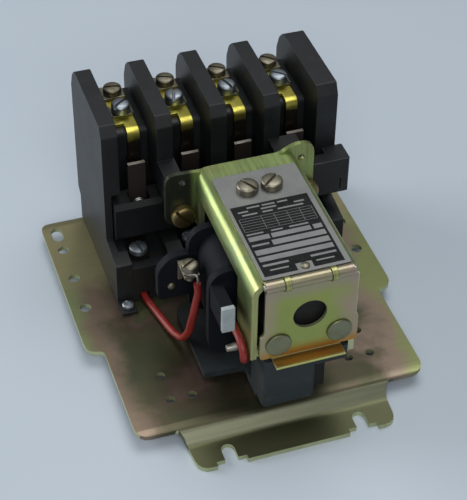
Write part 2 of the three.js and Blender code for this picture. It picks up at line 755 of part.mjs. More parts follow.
function magnetFrame() {
  const { left, right, top, sheet, front, rear } = FRAME;
  const fold = bentSheet(
    [
      [left + sheet / 2, 31.7],
      [left + sheet / 2, top - sheet / 2, 5.2],
      [right - sheet / 2, top - sheet / 2, 2.6],
      [right - sheet / 2, 31.7],
    ],
    sheet,
  );
  const topFront = HINGE.y + HINGE.roll + GAP;
  let frame = slab("y", fold, [front, rear], 6);
  frame = frame.subtract(box([left - 1, 0], [-52, -6], [0, 66.2]));
  frame = frame.subtract(box([left - 1, 0], [front - 1, -50], [0, 38.2]));
  frame = frame.subtract(box([left - 1, 0], [-8, rear + 1], [0, 50.5]));
  frame = frame.subtract(box([-11.4, 30], [front - 1, topFront], [70.5, top + 1]));
  const latchTab = box([left + 0.2, -11.9], [front, front + sheet], [39.6, 43]);
  const web = box([left + 1, right - 1], [0, rear], [62, top - 1]);
  const ears = slab(
    "y",
    outline([
      [-27.2, 50.6, 4],
      [-14, 50.6, 2],
      [-14, 62],
      [24.4, 62],
      [24.4, 50.6, 2],
      [33.6, 50.6, 4],
      [33.6, 78.2, 5.5],
      [24, 78.2, 4],
      [19.4, top, 2],
      [-1.6, top],
      [-2, top - 0.6],
      [-13, top - 0.6],
      [-27.2, 75.2, 5.5],
    ]),
    [0, rear],
    4,
  );
  frame = joined([frame, latchTab, web, ears]);
  for (const x of EAR_SCREWS.x) {
    frame = frame.subtract(cylinder("y", [x, EAR_SCREWS.z], [-2, 4], 2.4, 12));
  }
  frame = frame.subtract(cylinder("y", [-20.4, 70.4], [-2, 4], 1.5, 12));
  frame = frame.subtract(cylinder("y", [28.2, 71.3], [-2, 4], 1.5, 12));
  for (const x of NAMEPLATE.screws) {
    frame = frame.subtract(cylinder("z", [x, NAMEPLATE.screwY], [60, 80], 2, 12));
  }
  for (const x of KNUCKLES) {
    const span = [x - KNUCKLE_HALF, x + KNUCKLE_HALF];
    const ring = cylinder("x", [HINGE.y, HINGE.z], span, HINGE.knuckle, 20);
    const strap = box(span, [HINGE.y, topFront + 1], [FRAME.top - 2.2, FRAME.top]);
    frame = frame.add(ring).add(strap);
  }
  const bore = cylinder("x", [HINGE.y, HINGE.z], [-20, 30], HINGE.pin + 0.05, 20);
  addNode("magnet_frame", frame.subtract(bore), chromate);

  const earScrew = { head: 4.8, height: 4, shank: 1.7, length: 9, slot: 1.3, sides: 20 };
  for (const [i, side] of ["left", "right"].entries()) {
    const place = [EAR_SCREWS.x[i], -TOUCH, EAR_SCREWS.z];
    addScrew(`frame_screw_${side}`, earScrew, brass, place, 40, true);
  }
}

function nameplate() {
  const { left, right, front, rear, sheet, screws, screwY } = NAMEPLATE;
  const low = FRAME.top + TOUCH;
  const shape = outline([
    [left, front, 0.8],
    [right, front, 0.8],
    [right, rear, 0.8],
    [left, rear, 0.8],
  ]);
  let plate = slab("z", shape, [low, low + sheet], 2);
  for (const x of screws) {
    plate = plate.subtract(cylinder("z", [x, screwY], [60, 90], 2, 12));
  }
  addNode("nameplate", plate, aluminium);
  const sizes = { head: 4.2, height: 3.2, shank: 1.6, length: 6, slot: 1.2, sides: 18 };
  for (const [i, side] of ["left", "right"].entries()) {
    const place = [screws[i], screwY, low + sheet + TOUCH];
    addScrew(`nameplate_screw_${side}`, sizes, nickel, place, i === 0 ? 32 : -52);
  }
}

// ---- Gate: swings up about the pin to let the magnet and coil slide out ----
const RIVETS = [
  [-5.4, 45.4],
  [18.3, 45.9],
];

function gate() {
  const { left, right, bottom, front, sheet, hole } = GATE;
  const rear = front + sheet;
  const shape = outline([
    [left, HINGE.z],
    [left, 51.5, 1],
    [left - 1.4, 50.3, 0.8],
    [left - 1.4, bottom, 1.5],
    [right + 1.2, bottom, 1.5],
    [right + 1.2, 51.6, 0.8],
    [right, 52.6, 0.8],
    [right, 72.4, 1],
    [HINGE.right, HINGE.z],
  ]);
  let plate = slab("y", shape, [front, rear], 4);
  const roll = cylinder("x", [HINGE.y, HINGE.z], [HINGE.left, HINGE.right], HINGE.roll, 20);
  plate = plate.add(roll);
  plate = plate.subtract(cylinder("y", [6.4, 57.3], [front - 2, rear + 2], hole, 24));
  for (const x of KNUCKLES) {
    const clear = [x - KNUCKLE_HALF - GAP, x + KNUCKLE_HALF + GAP];
    plate = plate.subtract(box(clear, [-80, -60], [HINGE.z - HINGE.knuckle - GAP, 80]));
  }
  const bore = cylinder("x", [HINGE.y, HINGE.z], [-20, 30], HINGE.pin + 0.05, 20);
  plate = plate.subtract(bore);
  for (const [x, z] of RIVETS) {
    plate = plate.subtract(cylinder("y", [x, z], [front - 2, rear + 2], 2 + GAP, 12));
  }
  addNode("gate", plate, chromate);

  const span = [HINGE.left - 0.6, HINGE.right + 0.9];
  addNode("hinge_pin", cylinder("x", [HINGE.y, HINGE.z], span, HINGE.pin, 20), steel);

  const latchFront = rear + TOUCH;
  const side = bentSheet(
    [
      [latchFront + 0.5, 50.4],
      [latchFront + 0.5, 37, 1.4],
      [-73.9, 37],
    ],
    1,
  );
  let latch = slab("x", side, [-7.4, 19.8], 3);
  for (const [x, z] of RIVETS) {
    latch = latch.subtract(cylinder("y", [x, z], [-72, -60], 2 + GAP, 12));
  }
  latch = latch.subtract(cylinder("y", [6.4, 57.3], [-72, -60], hole + 1.5, 24));
  addNode("gate_latch", latch, chromate);

  const headFront = front - TOUCH - 0.8;
  for (const [i, side2] of ["left", "right"].entries()) {
    const [x, z] = RIVETS[i];
    const head = cylinder("y", [x, z], [headFront, front - TOUCH], 5, 20);
    const stem = cylinder("y", [x, z], [front - 1, latchFront + 1], 2, 12);
    addNode(`gate_rivet_${side2}`, head.add(stem), steel);
  }
}

// ---- Auxiliary contact block in front of the right wall ----
function auxiliaryBlock() {
  const { left, right, front, rear, low, high } = AUX;
  const shape = outline([
    [left, front, 0.6],
    [right, front, 0.8],
    [right, rear, 0.6],
    [CROSSBAR.right + 1, rear],
    [CROSSBAR.right + 1, CROSSBAR.front - 0.4],
    [left, CROSSBAR.front - 0.4, 0.6],
  ]);
  const body = slab("z", shape, [low, high], 3);
  const slot = box([right - 4.2, right - 3.2], [front - 1, front + 1.4], [low + 1.2, low + 7]);
  addNode("auxiliary_block", body.subtract(slot), phenolic);
}

// ---- Return spring: pushes the carrier forward off the block ----
function returnSpring() {
  const start = 3.6 + TOUCH + 0.6;
  const length = 13.6 - 0.6 - TOUCH - start;
  addNode("return_spring", helix([POLES.centre, start, 26], length, 3, 0.5, 3), steel);
}

mountingPlate();
contactBlock();
terminals();
contactCarrier();
movableContacts();
magnet();
coilBody();
wires();
magnetFrame();
nameplate();
gate();
auxiliaryBlock();
returnSpring();

export default contactor;
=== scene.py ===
"""An open four-pole magnetic contactor on its plated mounting plate."""

import json
import math

import bmesh
import bpy
from mathutils import Matrix, Vector

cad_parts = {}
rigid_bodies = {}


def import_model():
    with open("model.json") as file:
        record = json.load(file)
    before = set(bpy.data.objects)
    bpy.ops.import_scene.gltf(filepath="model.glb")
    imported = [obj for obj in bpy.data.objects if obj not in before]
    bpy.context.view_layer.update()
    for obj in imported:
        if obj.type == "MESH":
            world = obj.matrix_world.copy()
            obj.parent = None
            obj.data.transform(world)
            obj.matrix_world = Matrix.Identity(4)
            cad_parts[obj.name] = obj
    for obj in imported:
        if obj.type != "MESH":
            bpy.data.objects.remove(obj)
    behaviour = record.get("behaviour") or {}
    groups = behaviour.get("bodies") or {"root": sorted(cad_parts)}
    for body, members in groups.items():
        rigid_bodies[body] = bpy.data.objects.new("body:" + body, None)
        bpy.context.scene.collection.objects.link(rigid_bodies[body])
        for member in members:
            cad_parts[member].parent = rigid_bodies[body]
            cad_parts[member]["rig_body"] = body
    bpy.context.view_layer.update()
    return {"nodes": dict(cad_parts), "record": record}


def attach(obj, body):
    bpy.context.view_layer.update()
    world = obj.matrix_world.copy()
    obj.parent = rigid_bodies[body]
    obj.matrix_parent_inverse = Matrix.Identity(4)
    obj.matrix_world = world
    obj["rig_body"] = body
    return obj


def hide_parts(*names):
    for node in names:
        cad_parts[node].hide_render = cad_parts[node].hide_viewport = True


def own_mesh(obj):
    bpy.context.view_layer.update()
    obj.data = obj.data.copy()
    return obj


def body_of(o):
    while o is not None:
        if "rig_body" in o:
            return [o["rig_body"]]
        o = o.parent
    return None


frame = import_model()
scene = bpy.context.scene
MM = 0.001

# ---- Camera ----
# A long lens, above and to the left of the gate, with the line terminals furthest away.
right = Vector((0.94786, -0.31847, 0.01177))
up = Vector((0.20443, 0.63596, 0.74416))
back = right.cross(up)
lens = bpy.data.cameras.new("camera")
lens.sensor_width = 36
lens.lens = 111.6
camera = bpy.data.objects.new("camera", lens)
scene.collection.objects.link(camera)
turn = Matrix((right, up, back)).transposed().to_4x4()
camera.matrix_world = Matrix.Translation((-0.1518, -0.4391, 0.4475)) @ turn
scene.camera = camera

# ---- The two coil wires ----
# Stranded copper in red plastic insulation, 3 mm thick. One runs from the coil's terminal screw
# down to the plate and into the contact block, the other comes forward beside the magnet frame
# and turns back in under it.
wire_radius = 1.5
coil_wire_route = [
    (-24.3, -31.4, 47),
    (-24, -31.5, 42.6),
    (-24.6, -31.3, 38.2),
    (-25.2, -30.9, 33.9),
    (-25.8, -30.5, 29.6),
    (-26.4, -29.7, 25.3),
    (-26.8, -28.8, 21),
    (-27.5, -27.2, 16.9),
    (-28.5, -24.9, 13.3),
    (-29.6, -21.1, 11.4),
    (-30.5, -17, 10.4),
    (-31.4, -12.7, 10),
    (-32.2, -8.3, 9.8),
    (-33.1, -4, 9.6),
    (-34, 0.3, 9.6),
    (-34.8, 4.6, 9.6),
    (-35, 9, 9.6),
]
gate_wire_route = [
    (-17.2, -46.5, 43.4),
    (-17.2, -49.4, 43.4),
    (-17.2, -52.3, 43.4),
    (-17.2, -55.2, 43.4),
    (-17.2, -58.2, 43.4),
    (-17.2, -61.1, 43.1),
    (-17.2, -63.6, 41.7),
    (-17.1, -64.9, 39.1),
    (-16.8, -64.4, 36.2),
    (-15.6, -62.6, 34),
    (-14.1, -60.1, 33),
    (-12.9, -57.2, 32.8),
    (-12.4, -54.4, 33.3),
    (-12.3, -51.6, 34.1),
    (-12.3, -49, 34.8),
    (-12.3, -46.5, 35.2),
]


class Value:
    """A shader socket with arithmetic: an expression on values adds its Math nodes."""

    def __init__(self, tree, socket=None):
        self.tree = tree
        self.socket = socket

    def node(self, kind, settings=None, inputs=None, out=0):
        made = self.tree.nodes.new("ShaderNode" + kind)
        for name, setting in (settings or {}).items():
            if name == "stops":
                steps = made.color_ramp.elements
                while len(steps) < len(setting):
                    steps.new(0.5)
                for step, (stop, color) in zip(steps, setting):
                    step.position = stop
                    step.color = (*color, 1)
            else:
                setattr(made, name, setting)
        for name, given in (inputs or {}).items():
            if isinstance(given, Value):
                self.tree.links.new(given.socket, made.inputs[name])
            else:
                made.inputs[name].default_value = given
        return Value(self.tree, made.outputs[out])

    def math(self, operation, *values):
        return self.node("Math", {"operation": operation}, dict(enumerate(values)))

    def __add__(self, other):
        return self.math("ADD", self, other)

    def __sub__(self, other):
        return self.math("SUBTRACT", self, other)

    def __rsub__(self, other):
        return self.math("SUBTRACT", other, self)

    def __mul__(self, other):
        return self.math("MULTIPLY", self, other)

    def __truediv__(self, other):
        return self.math("DIVIDE", self, other)

    __radd__ = __add__
    __rmul__ = __mul__


def begin(name):
    """A new material, and a value to build its nodes from."""
    material = bpy.data.materials.new(name)
    material.use_nodes = True
    return material, Value(material.node_tree)


def noise(start, scale, detail=3, roughness=0.55, distortion=0, stretch=None):
    """Noise over the row frame, in features of about one over scale metres."""
    place = start.node("TexCoord", out="Object")
    if stretch:
        place = start.node("VectorMath", {"operation": "MULTIPLY"}, {0: place, 1: stretch})
    sizes = {"Vector": place, "Scale": scale, "Detail": detail, "Roughness": roughness}
    return start.node("TexNoise", {}, {**sizes, "Distortion": distortion})


def between(start, value, low, high):
    """0 below low and 1 above high, with a soft step from one to the other."""
    limits = {"Value": value, "From Min": low, "From Max": high}
    return start.node("MapRange", {"interpolation_type": "SMOOTHSTEP"}, limits)


def tones(start, value, stops):
    return start.node("ValToRGB", {"stops": stops}, {"Fac": value})


def blend(start, share, first, second):
    """The first colour where share is 0, the second where it is 1."""
    colors = [c if isinstance(c, Value) else (*c, 1) for c in (first, second)]
    mixed = {0: share, 6: colors[0], 7: colors[1]}
    return start.node("Mix", {"data_type": "RGBA"}, mixed, out=2)


def coat(material, start, height=None, depth=0.0002, strength=0.5, **sockets):
    """Gives the material's shader its values, and a bump from height. _ is a socket's space."""
    shader = material.node_tree.nodes["Principled BSDF"]
    if height is not None:
        bump = {"Height": height, "Strength": strength, "Distance": depth}
        sockets["Normal"] = start.node("Bump", {}, bump)
    for name, given in sockets.items():
        socket = shader.inputs[name.replace("_", " ")]
        if isinstance(given, Value):
            material.node_tree.links.new(given.socket, socket)
        else:
            socket.default_value = given
    return material


def strand(name, route, radius, material, body, slot, *stands_for):
    """A round wire along a route in millimetres, as a smooth curve."""
    curve = bpy.data.curves.new(name, "CURVE")
    curve.dimensions = "3D"
    curve.bevel_depth = radius * MM
    curve.bevel_resolution = 5
    curve.use_fill_caps = True
    curve.resolution_u = 6
    spline = curve.splines.new("BEZIER")
    spline.bezier_points.add(len(route) - 1)
    for point, at in zip(spline.bezier_points, route):
        point.co = Vector(at) * MM
        point.handle_left_type = point.handle_right_type = "AUTO"
    curve.materials.append(material)
    made = bpy.data.objects.new(name, curve)
    scene.collection.objects.link(made)
    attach(made, body)
    if stands_for:
        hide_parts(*stands_for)
    return made


red, start = begin("red_insulation")
dust = noise(start, 260, 4)
color = tones(start, dust, [(0.3, (0.17, 0.010, 0.008)), (0.7, (0.25, 0.018, 0.012))])
rough = 0.36 + noise(start, 900) * 0.2
coat(red, start, noise(start, 1400, 2), 0.00005, 0.4, Base_Color=color, Roughness=rough)

coil_wire = strand(
    "coil_lead", coil_wire_route, wire_radius, red, "base", "red_insulation", "coil_wire"
)
gate_wire = strand(
    "gate_lead", gate_wire_route, wire_radius, red, "base", "red_insulation", "gate_wire"
)

# ---- Table and studio light ----
# A plain pale blue-grey table under three big soft lights: one above the camera, a stronger one
# behind on the left and one overhead.
table_mesh = bpy.data.meshes.new("table")
table_mesh.from_pydata([(-3, -2, 0), (3, -2, 0), (3, 4, 0), (-3, 4, 0)], [], [(0, 1, 2, 3)])
table = bpy.data.objects.new("table", table_mesh)
scene.collection.objects.link(table)
pale, start = begin("pale_table")
color = tones(start, noise(start, 3), [(0.3, (0.42, 0.48, 0.54)), (0.7, (0.46, 0.52, 0.58))])
coat(pale, start, Base_Color=color, Roughness=0.6)
table_mesh.materials.append(pale)

world = bpy.data.worlds.new("studio")
world.use_nodes = True
world.node_tree.nodes["Background"].inputs["Color"].default_value = (0.78, 0.86, 0.95, 1)
world.node_tree.nodes["Background"].inputs["Strength"].default_value = 0.17
scene.world = world


def softbox(name, at, size, power, aim=(0, 0, 0.03)):
    light = bpy.data.lights.new(name, "AREA")
    light.shape = "SQUARE"
    light.size = size
    light.energy = power
    lamp = bpy.data.objects.new(name, light)
    lamp.location = at
    lamp.rotation_euler = (Vector(at) - Vector(aim)).to_track_quat("Z", "Y").to_euler()
    scene.collection.objects.link(lamp)


softbox("key", (-0.25, -0.95, 0.85), 0.7, 7.5)
softbox("left", (-1.1, 0.75, 0.55), 0.8, 13)
softbox("overhead", (0.25, 0.25, 1.3), 1.0, 9)
scene.view_settings.view_transform = "Standard"

# ---- Mounting plate ----
# One blanked steel sheet, joggled down into a front and a rear foot, zinc plated and dipped in
# yellow chromate, which dries in olive, gold and pink clouds. Its colour also carries painted
# shade over the middle and the front foot, and a painted highlight on the front joggle.


def loose(mesh):
    """The mesh as a bmesh, with its doubled corners joined."""
    made = bmesh.new()
    made.from_mesh(mesh)
    bmesh.ops.remove_doubles(made, verts=made.verts, dist=1e-4)
    return made


def flatten(made):
    """Joins the triangles that lie in one flat."""
    almost_flat = math.radians(0.5)
    bmesh.ops.dissolve_limit(
        made, angle_limit=almost_flat, verts=made.verts, edges=made.edges
    )


def ease(made, width, steps=2, sharper=28, skin=-1):
    """Rounds every edge that turns by more than some degrees, in material slot skin if given."""
    limit = math.radians(sharper)
    sharp = [e for e in made.edges if len(e.link_faces) == 2 and e.calc_face_angle(0) > limit]
    bmesh.ops.bevel(
        made, geom=sharp, offset=width, segments=steps, profile=0.5, affect="EDGES",
        clamp_overlap=True, material=skin,
    )


def as_mesh(made, name):
    mesh = bpy.data.meshes.new(name)
    bmesh.ops.recalc_face_normals(made, faces=made.faces)
    made.to_mesh(mesh)
    made.free()
    return mesh


def carved(mesh, *cutters):
    """The mesh with each cutter taken away from it."""
    helpers = [bpy.data.objects.new("cutting", m) for m in (mesh, *cutters)]
    for helper in helpers:
        scene.collection.objects.link(helper)
    for cutter in helpers[1:]:
        cut = helpers[0].modifiers.new("cut", "BOOLEAN")
        cut.operation = "DIFFERENCE"
        cut.solver = "EXACT"
        cut.object = cutter
    seen = helpers[0].evaluated_get(bpy.context.evaluated_depsgraph_get())
    result = bpy.data.meshes.new_from_object(seen)
    for helper in helpers:
        bpy.data.objects.remove(helper)
    return result


def place(name, mesh, material, body, slot, *stands_for, rim=None):
    """A piece from a mesh in millimetres, smooth over its rounded edges."""
    mesh.transform(Matrix.Scale(MM, 4))
    skins = [polygon.material_index for polygon in mesh.polygons]
    mesh.materials.clear()
    mesh.materials.append(material)
    if rim:
        mesh.materials.append(rim)
    mesh.polygons.foreach_set("material_index", [skin if rim else 0 for skin in skins])
    mesh.shade_smooth()
    mesh.set_sharp_from_angle(angle=math.radians(42))
    made = bpy.data.objects.new(name, mesh)
    scene.collection.objects.link(made)
    even = made.modifiers.new("even", "WEIGHTED_NORMAL")
    even.keep_sharp = True
    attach(made, body)
    if stands_for:
        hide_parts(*stands_for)
    return made


def turned(profile, sides=48):
    """A closed solid turned about Z through (radius, height) points."""
    made = bmesh.new()
    rings = []
    for radius, height in profile:
        count = sides if radius > 0 else 1
        angles = [2 * math.pi * i / count for i in range(count)]
        spots = [(radius * math.cos(a), radius * math.sin(a), height) for a in angles]
        rings.append([made.verts.new(spot) for spot in spots])
    for low, high in zip(rings, rings[1:]):
        for i in range(sides):
            corners = []
            for vert in (low[i % len(low)], low[(i + 1) % len(low)],
                         high[(i + 1) % len(high)], high[i % len(high)]):
                if vert not in corners:
                    corners.append(vert)
            if len(corners) > 2:
                made.faces.new(corners)
    return as_mesh(made, "turned")


def rod(radius, low, high, sides=48):
    return turned([(0, low), (radius, low), (radius, high), (0, high)], sides)


def moved(mesh, *steps):
    for step in steps:
        mesh.transform(step)
    return mesh


ALONG_X = Matrix.Rotation(math.radians(90), 4, "Y")
ALONG_Y = Matrix.Rotation(math.radians(-90), 4, "X")
slot_of = {part["node"]: part["material_slot"] for part in frame["record"]["subparts"]}


def recast(node, material, width=0.3, steps=2, cutters=(), rim=None, sheet=0):
    """The CAD node's shape with its flats joined and its edges rounded, in place of the node.
    rim is a second material for the rounded edges and for the cut edges of a sheet so thick."""
    made = loose(frame["nodes"][node].data)
    bmesh.ops.scale(made, vec=(1 / MM,) * 3, verts=made.verts)
    bmesh.ops.remove_doubles(made, verts=made.verts, dist=1e-3)
    flatten(made)
    if cutters:
        mesh = carved(as_mesh(made, node), *cutters)
        made = loose(mesh)
        flatten(made)
    if sheet:
        across = {e for e in made.edges if abs(e.calc_length() - sheet) < 0.06}
        for face in made.faces:
            narrow = face.calc_area() < sheet * face.calc_perimeter() / 2
            face.material_index = int(narrow and len(across.intersection(face.edges)) > 1)
    if width:
        ease(made, width, steps, skin=1 if rim else -1)
    body = body_of(frame["nodes"][node])[0]
    return place(f"{node}_fine", as_mesh(made, node), material, body, slot_of[node], node, rim=rim)


def position(start, axis):
    """The surface's place along X, Y or Z, in metres."""
    return start.node("SeparateXYZ", {}, {0: start.node("TexCoord", out="Object")}, out=axis)


def chromate(name, stops, patch=26, roughness=0.3, metallic=0.85, drawn=(1, 22, 1), streak=0.9,
             zones=()):
    """Yellow chromate over zinc: clouds of colour, faint rolling lines and fine specks.
    A zone is an axis, the places where it begins and is full, how ragged it is, and its colour;
    zones carry chromate tones, and also painted shade and painted highlights."""
    material, start = begin(name)
    clouds = noise(start, patch, 3, 0.5, 0.8)
    small = noise(start, patch * 3.1, 4, 0.6, 0.5)
    color = tones(start, clouds * 0.72 + small * 0.28, stops)
    lines = noise(start, 60, 3, stretch=drawn)
    specks = noise(start, 1300, 2)
    stain = between(start, noise(start, 75, 5, 0.65), 0.58, 0.75)
    color = blend(start, stain * 0.35, color, (0.06, 0.05, 0.03))
    for axis, none, full, ragged, second in zones:
        reach = (position(start, axis) - none) / (full - none)
        drift = (clouds - 0.5) * (ragged * 1.8) + (small - 0.5) * ragged
        reach = between(start, reach + drift, 0, 1)
        color = blend(start, reach, color, second)
    dark = [(0.35, (streak, streak, streak)), (0.6, (1, 1, 1))]
    color = start.node("Mix", {"data_type": "RGBA", "blend_type": "MULTIPLY"},
                       {0: 1, 6: color, 7: tones(start, lines, dark)}, out=2)
    rough = roughness + lines * 0.12 + specks * 0.1 + stain * 0.1
    height = specks * 0.6 + lines * 0.4
    return coat(material, start, height, 0.00004, 0.35,
                Base_Color=color, Roughness=rough, Metallic=metallic)


def metal(name, color, second, roughness, metallic=1.0, lines=None, wear=0.4, shade_span=None):
    """Plated or bare metal with soft tarnish, fine scratches and specks. The optional span in Z,
    from its lit top down to black, is painted shade that darkens the metal below it."""
    material, start = begin(name)
    tarnish = between(start, noise(start, 130, 4, 0.6), 0.4, 0.7)
    shade = blend(start, tarnish * wear, color, second)
    scratches = noise(start, 220, 3, stretch=lines or (1, 1, 9))
    rough = roughness + tarnish * 0.14 + scratches * 0.12
    height = scratches * 0.6 + noise(start, 1500, 2) * 0.4
    # Painted shade: below the span's top the colour goes to black.
    if shade_span:
        lit_top, black = shade_span
        depth = (lit_top - position(start, 2)) / (lit_top - black)
        shade_share = between(start, depth + tarnish * 0.4, 0, 1)
        shade = blend(start, shade_share, shade, (0.030, 0.024, 0.018))
        rough = rough + shade_share * 0.25
    return coat(material, start, height, 0.00004, 0.35,
                Base_Color=shade, Roughness=rough, Metallic=metallic)


plate_colour_with_light = chromate(
    "plate_chromate_painted_light",
    # The dark olive stops are painted shade: the plate's middle is kept dark as the shade near the
    # block.
    [(0.34, (0.066, 0.072, 0.040)), (0.43, (0.080, 0.078, 0.044)), (0.50, (0.105, 0.085, 0.057)),
     (0.56, (0.15, 0.105, 0.085)), (0.61, (0.10, 0.115, 0.055)), (0.68, (0.18, 0.19, 0.085))],
    patch=24, roughness=0.28, streak=0.94,
    # Zones along X: lighter pink and green chromate at both sides. Zones along Y: a painted
    # highlight on the front joggle's slope, painted shade over the front foot below it, and
    # lighter towards the rear.
    zones=[
        (0, -0.045, -0.058, 0.9, (0.245, 0.185, 0.135)),
        (0, -0.058, -0.065, 1.2, (0.25, 0.28, 0.14)),
        (0, 0.034, 0.050, 1.7, (0.26, 0.20, 0.15)),
        (0, 0.050, 0.062, 1.8, (0.24, 0.27, 0.11)),
        (1, -0.0652, -0.0662, 0.25, (0.21, 0.215, 0.14)),
        (1, -0.0698, -0.0706, 0, (0.12, 0.125, 0.065)),
        (1, 0.018, 0.035, 1, (0.34, 0.31, 0.17)),
    ],
)
# Painted highlight: a pale olive for the rounded and cut edges of the plated sheets, where light
# catches them.
sheet_edge_highlight = metal("sheet_edge_highlight", (0.50, 0.53, 0.31), (0.34, 0.36, 0.19), 0.3, 0.8)


def small_holes(spots, radius, low=-1, high=10):
    return [moved(rod(radius + 0.03, low, high), Matrix.Translation((x, y, 0))) for x, y in spots]


def both_sides(spots):
    return [(side * x, y) for x, y in spots for side in (-1, 1)]


PLATE_SHEET, FRAME_SHEET, GATE_SHEET = 2, 2.3, 1.3
WIDE_HOLE, SLIM_HOLE = 2.3, 1.75
wide_holes = both_sides([(59.4, 46), (59.4, 27.6), (59.4, 9)])
slim_holes = both_sides([(41.2, -36.8), (41.2, -50.1), (32.3, -50.1), (31, -12.8)])
round_holes = small_holes(wide_holes, WIDE_HOLE) + small_holes(slim_holes, SLIM_HOLE)
recast("mounting_plate", plate_colour_with_light, 0.28, 2, round_holes, sheet_edge_highlight, PLATE_SHEET)

# ---- Contact block ----
# One compression moulding of black phenolic: five barriers and the terminal floors between them.
# It has a satin skin with fine flow marks and patches of dust, and two screws hold it to the
# plate.


def moulded(name, dark, light, roughness, grain=1500, strength=0.5, shade=None, shine=0.5):
    """Matt moulding compound. shade, if given, is a span in Y of painted shade, over which the
    colour turns near black.
    """
    material, start = begin(name)
    flow = noise(start, 45, 4, 0.6, 0.6)
    dust = between(start, noise(start, 160, 5, 0.7), 0.5, 0.8)
    color = blend(start, dust * 0.45 + flow * 0.3, dark, light)
    if shade:
        # Painted shade: near black over the span in Y.
        reach = (position(start, 1) - shade[0]) / (shade[1] - shade[0])
        color = blend(start, between(start, reach, 0, 1), color, (0.004, 0.0045, 0.005))
    rough = roughness + flow * 0.16 + noise(start, grain, 2) * 0.12
    height = noise(start, grain, 3) * 0.7 + noise(start, 240, 2) * 0.5
    return coat(material, start, height, 0.00006, strength,
                Base_Color=color, Roughness=rough, Specular_IOR_Level=shine)


phenolic = moulded(
    "black_phenolic", (0.0045, 0.005, 0.0052), (0.020, 0.024, 0.026), 0.36, shine=0.42
)
recast("contact_block", phenolic, 0.5, 3)


zinc = metal("clear_zinc", (0.33, 0.37, 0.40), (0.16, 0.18, 0.20), 0.36, wear=0.7)
dark_nickel = metal("dark_nickel", (0.15, 0.15, 0.12), (0.07, 0.065, 0.05), 0.42)
nickel = metal("warm_nickel", (0.27, 0.25, 0.19), (0.12, 0.105, 0.07), 0.36, wear=0.8)


def screw(node, at, head, height, shank, length, slot, angle, material, forward=False):
    """A slotted cheese-head screw with a domed top, standing for its CAD node."""
    profile = [
        (0, -length), (shank, -length), (shank, 0), (head - 0.2, 0), (head, 0.2),
        (head, height * 0.68), (head * 0.985, height * 0.76), (head * 0.93, height * 0.84),
        (head * 0.8, height * 0.92), (head * 0.55, height * 0.98), (0, height),
    ]
    cutter = bmesh.new()
    bmesh.ops.create_cube(cutter, size=1)
    bmesh.ops.scale(cutter, vec=(slot, head * 3, height), verts=cutter.verts)
    bmesh.ops.translate(cutter, vec=(0, 0, height * 1.1), verts=cutter.verts)
    made = loose(carved(turned(profile), as_mesh(cutter, "slot")))
    ease(made, 0.09, 1, 50)
    mesh = as_mesh(made, node)
    spin = Matrix.Rotation(math.radians(angle), 4, "Z")
    tip = Matrix.Rotation(math.radians(90 if forward else 0), 4, "X")
    moved(mesh, spin, tip, Matrix.Translation(at))
    body = body_of(frame["nodes"][node])[0]
    place(f"{node}_fine", mesh, material, body, slot_of[node], node)


BLOCK_SCREW_Y, BLOCK_SEAT = 2.9, 9
for x, side in ((-43, "left"), (45.8, "right")):
    seat = (x, BLOCK_SCREW_Y, BLOCK_SEAT)
    screw(f"block_screw_{side}", seat, 2.4, 1.9, 1.4, 4.6, 0.8, 25, zinc)

# ---- Line and load terminals ----
# Bent strips of rolled brass, darkened with painted shade low down near the contacts. On each
# line strip sit a zinc screw with its saddle clip and, behind it, a nickel screw on a square clamp
# plate.
# The span in Z is painted shade: the brass tongues turn black from 72.2 mm down to 68 mm.
brass = metal("rolled_brass", (0.58, 0.52, 0.10), (0.36, 0.30, 0.07), 0.26, lines=(9, 1, 1),
              shade_span=(0.0722, 0.0680))
dark_brass = metal("aged_brass", (0.26, 0.205, 0.085), (0.10, 0.075, 0.035), 0.38, wear=0.8)
silver = metal("contact_silver", (0.34, 0.32, 0.29), (0.16, 0.14, 0.12), 0.4)
pole_x = [-32, -9.8, 12.4, 34.6]
STRIP_TOP = 74.3
TERMINAL_HEAD, TERMINAL_SHANK, TERMINAL_SLOT = 3.75, 1.7, 1.1
LINE_SCREW = {"y": 45, "z": 75.6}
CLAMP_SCREW = {"y": 57.8, "z": 75.8}
LOAD_SCREW = {"aside": -2.8, "y": 14.6, "z": 27.3}


def box(x, y, z):
    made = bmesh.new()
    bmesh.ops.create_cube(made, size=1)
    sizes = [span[1] - span[0] for span in (x, y, z)]
    bmesh.ops.scale(made, vec=sizes, verts=made.verts)
    middle = [(span[1] + span[0]) / 2 for span in (x, y, z)]
    bmesh.ops.translate(made, vec=middle, verts=made.verts)
    return made


def joined(parts, name):
    """Several loose meshes as one mesh."""
    whole = bmesh.new()
    for part in parts:
        mesh = part if isinstance(part, bpy.types.Mesh) else as_mesh(part, name)
        whole.from_mesh(mesh)
    return as_mesh(whole, name)


def channel(width, long, low, high, sheet):
    """A U-shaped saddle: a flat base with both sides turned up, centred on X and Y."""
    half = width / 2
    outline = [(-half, high), (-half, low), (half, low), (half, high)]
    inner = [(half - sheet, high), (half - sheet, low + sheet),
             (sheet - half, low + sheet), (sheet - half, high)]
    made = bmesh.new()
    ends = [[made.verts.new((x, y, z)) for x, z in outline + inner] for y in (-long / 2, long / 2)]
    for ring in ends:
        made.faces.new(ring)
    for i in range(8):
        j = (i + 1) % 8
        made.faces.new((ends[0][i], ends[0][j], ends[1][j], ends[1][i]))
    bmesh.ops.recalc_face_normals(made, faces=made.faces)
    return made


